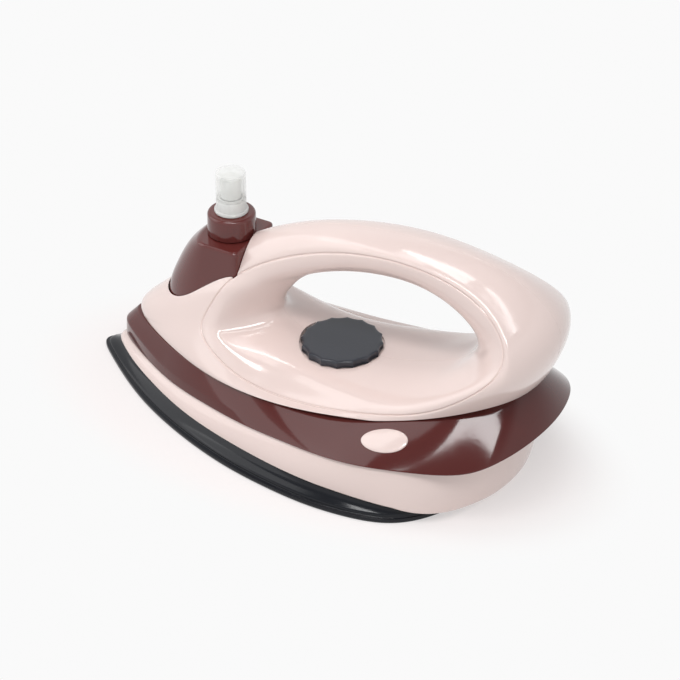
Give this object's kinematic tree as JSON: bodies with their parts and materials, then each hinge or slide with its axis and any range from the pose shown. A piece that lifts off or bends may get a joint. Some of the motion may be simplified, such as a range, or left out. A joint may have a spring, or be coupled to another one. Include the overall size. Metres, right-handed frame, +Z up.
{
  "type": "toy iron",
  "caption": "Child's toy iron: looped handle, turning dial on the deck, lift-out water tank in the nose with a working mist sprayer, and a flat pointed sole.",
  "frame": {"origin": "centre of the bounding box in plan, on the floor under the soleplate", "axes": "+X from the toe to the heel, +Y to the right side as seen from the heel looking to the toe, +Z up"},
  "size_m": [0.2252, 0.1198, 0.1094],
  "materials": {
    "pink_plastic": "glossy moulded plastic, pale powder pink",
    "burgundy_plastic": "glossy moulded plastic, burgundy brown",
    "black_plastic": "glossy moulded plastic, blue-black",
    "natural_plastic": "milky unpigmented plastic",
    "clear_plastic": "clear thin moulded plastic",
    "gasket_rubber": "soft white washer",
    "screw_steel": "plated steel"
  },
  "bodies": {
    "housing": {"upper_shell_left": "pink_plastic", "upper_shell_right": "pink_plastic", "band_left": "burgundy_plastic", "band_right": "burgundy_plastic", "insert_left": "pink_plastic", "insert_right": "pink_plastic", "lower_shell": "pink_plastic", "soleplate": "black_plastic", "shell_screws": "screw_steel", "base_screws": "screw_steel", "sole_screws": "screw_steel"},
    "dial": {"dial_knob": "black_plastic", "dial_washer": "screw_steel", "dial_screw": "screw_steel"},
    "tank": {"water_tank": "burgundy_plastic", "tank_base": "burgundy_plastic"},
    "pump": {"pump_housing": "natural_plastic", "pump_gasket": "gasket_rubber", "dip_tube": "natural_plastic", "check_ball": "screw_steel", "pump_spring": "screw_steel"},
    "collar": {"pump_collar": "burgundy_plastic"},
    "button": {"spray_button": "natural_plastic", "nozzle_insert": "natural_plastic", "pump_piston": "natural_plastic"},
    "cap": {"spray_cap": "clear_plastic"}
  },
  "joints": [
    {"name": "dial_turn", "type": "hinge", "parent": "housing", "child": "dial", "pos_m": [0.01125, 0, 0.0376], "axis": [0, 0, 1], "continuous": true},
    {"name": "tank_lift", "type": "slide", "parent": "housing", "child": "tank", "axis": [0, 0, 1], "range_m": [0, 0.06]},
    {"name": "pump_rise", "type": "slide", "parent": "tank", "child": "pump", "axis": [0, 0, 1], "range_m": [0, 0.006]},
    {"name": "collar_unscrew", "type": "hinge", "parent": "pump", "child": "collar", "pos_m": [-0.04297, 0, 0.085], "axis": [0, 0, 1], "range_deg": [0, 720]},
    {"name": "button_press", "type": "slide", "parent": "pump", "child": "button", "axis": [0, 0, -1], "range_m": [0, 0.004], "stiffness_N_per_m": 200, "springref_m": -0.0005, "deforming": ["pump_spring"]},
    {"name": "cap_lift", "type": "slide", "parent": "pump", "child": "cap", "axis": [0, 0, 1], "range_m": [0, 0.025]}
  ],
  "couplings": [
    {"joint": "pump_rise", "follows": "collar_unscrew", "m_per_rad": 0.00047746}
  ]
}
